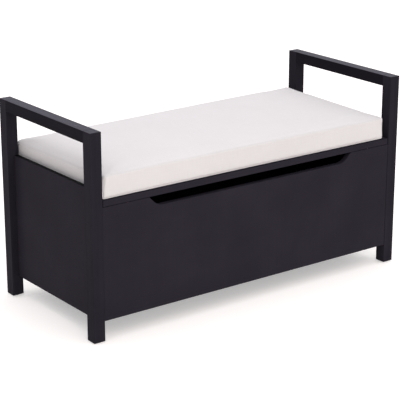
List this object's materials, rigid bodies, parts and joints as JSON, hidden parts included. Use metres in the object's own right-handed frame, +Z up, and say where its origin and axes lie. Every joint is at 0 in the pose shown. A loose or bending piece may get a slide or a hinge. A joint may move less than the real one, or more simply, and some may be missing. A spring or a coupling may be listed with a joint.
{
  "type": "storage bench",
  "caption": "Flip-top storage bench: a box on square legs with arm rails, a hinged lid with folding stays, a finger dip in the front panel and a loose seat cushion.",
  "frame": {"origin": "on the floor, under the middle of the bench", "axes": "+X to the right along the seat, front faces -Y, +Z up"},
  "size_m": [0.94, 0.405, 0.505],
  "materials": {
    "black_lacquer": "satin black lacquer on solid wood with crisp eased edges",
    "black_lacquer_panel": "satin black lacquer on smooth board",
    "box_floor": "matt black laminated board",
    "raw_batten": "black stained softwood batten",
    "beech_dowel": "plain beech",
    "hinge_steel": "nickel plated steel",
    "stay_steel": "zinc plated steel strip",
    "zinc_steel": "zinc plated steel",
    "cam_zinc": "die-cast zinc alloy",
    "black_plastic": "moulded matt plastic",
    "clear_rubber": "soft translucent rubber",
    "cushion_cloth": "fine plain-weave off-white cloth",
    "cushion_filling": "open-cell foam",
    "hook_and_loop": "black hook-and-loop tape"
  },
  "bodies": {
    "frame": {"arm_rail_left": "black_lacquer", "arm_rail_right": "black_lacquer", "back_panel": "black_lacquer_panel", "bottom_brace": "raw_batten", "bottom_panel": "box_floor", "brace_dowels": "beech_dowel", "cam_bolts": "zinc_steel", "cam_locks": "cam_zinc", "cleat_back": "raw_batten", "cleat_front": "raw_batten", "cleat_left": "raw_batten", "cleat_right": "raw_batten", "cleat_screws": "zinc_steel", "foot_glides": "black_plastic", "front_panel": "black_lacquer_panel", "hinge_centre_frame_leaf": "hinge_steel", "hinge_centre_pin": "hinge_steel", "hinge_frame_screws": "zinc_steel", "hinge_left_frame_leaf": "hinge_steel", "hinge_left_pin": "hinge_steel", "hinge_right_frame_leaf": "hinge_steel", "hinge_right_pin": "hinge_steel", "lid_bumpers": "clear_rubber", "panel_dowels": "beech_dowel", "post_back_left": "black_lacquer", "post_back_right": "black_lacquer", "post_front_left": "black_lacquer", "post_front_right": "black_lacquer", "rail_dowels": "beech_dowel", "side_panel_dowels": "beech_dowel", "side_panel_left": "black_lacquer_panel", "side_panel_right": "black_lacquer_panel", "stay_frame_screws": "zinc_steel", "stay_left_foot_rivet": "stay_steel", "stay_left_frame_bracket": "stay_steel", "stay_right_foot_rivet": "stay_steel", "stay_right_frame_bracket": "stay_steel"},
    "lid": {"hinge_centre_lid_leaf": "hinge_steel", "hinge_left_lid_leaf": "hinge_steel", "hinge_lid_screws": "zinc_steel", "hinge_right_lid_leaf": "hinge_steel", "lid_board": "black_lacquer_panel", "lid_hook_patches": "hook_and_loop", "stay_left_lid_bracket": "stay_steel", "stay_left_lid_rivet": "stay_steel", "stay_lid_screws": "zinc_steel", "stay_right_lid_bracket": "stay_steel", "stay_right_lid_rivet": "stay_steel"},
    "cushion": {"cushion_cover": "cushion_cloth", "cushion_foam": "cushion_filling", "cushion_loop_patches": "hook_and_loop"},
    "stay_left_lower": {"stay_left_elbow_rivet": "stay_steel", "stay_left_lower_arm": "stay_steel"},
    "stay_left_upper": {"stay_left_upper_arm": "stay_steel"},
    "stay_right_lower": {"stay_right_elbow_rivet": "stay_steel", "stay_right_lower_arm": "stay_steel"},
    "stay_right_upper": {"stay_right_upper_arm": "stay_steel"}
  },
  "joints": [
    {"name": "lid_hinge", "type": "hinge", "parent": "frame", "child": "lid", "pos_m": [0, 0.1965, 0.3264], "axis": [-1, 0, 0], "range_deg": [0, 90]},
    {"name": "cushion_lift", "type": "slide", "parent": "lid", "child": "cushion", "axis": [0, 0, 1], "range_m": [0, 0.2]},
    {"name": "stay_left_foot_pivot", "type": "hinge", "parent": "frame", "child": "stay_left_lower", "pos_m": [-0.4367, 0.1565, 0.1964], "axis": [-1, 0, 0], "range_deg": [0, 90]},
    {"name": "stay_left_elbow", "type": "hinge", "parent": "stay_left_lower", "child": "stay_left_upper", "pos_m": [-0.4344, 0.0265, 0.1784], "axis": [-1, 0, 0], "range_deg": [-90, 0]},
    {"name": "stay_right_foot_pivot", "type": "hinge", "parent": "frame", "child": "stay_right_lower", "pos_m": [0.4367, 0.1565, 0.1964], "axis": [-1, 0, 0], "range_deg": [0, 90]},
    {"name": "stay_right_elbow", "type": "hinge", "parent": "stay_right_lower", "child": "stay_right_upper", "pos_m": [0.4344, 0.0265, 0.1784], "axis": [-1, 0, 0], "range_deg": [-90, 0]}
  ],
  "couplings": [
    {"joint": "stay_left_foot_pivot", "follows": "lid_hinge", "ratio": 1},
    {"joint": "stay_left_elbow", "follows": "lid_hinge", "ratio": -1},
    {"joint": "stay_right_foot_pivot", "follows": "lid_hinge", "ratio": 1},
    {"joint": "stay_right_elbow", "follows": "lid_hinge", "ratio": -1}
  ]
}
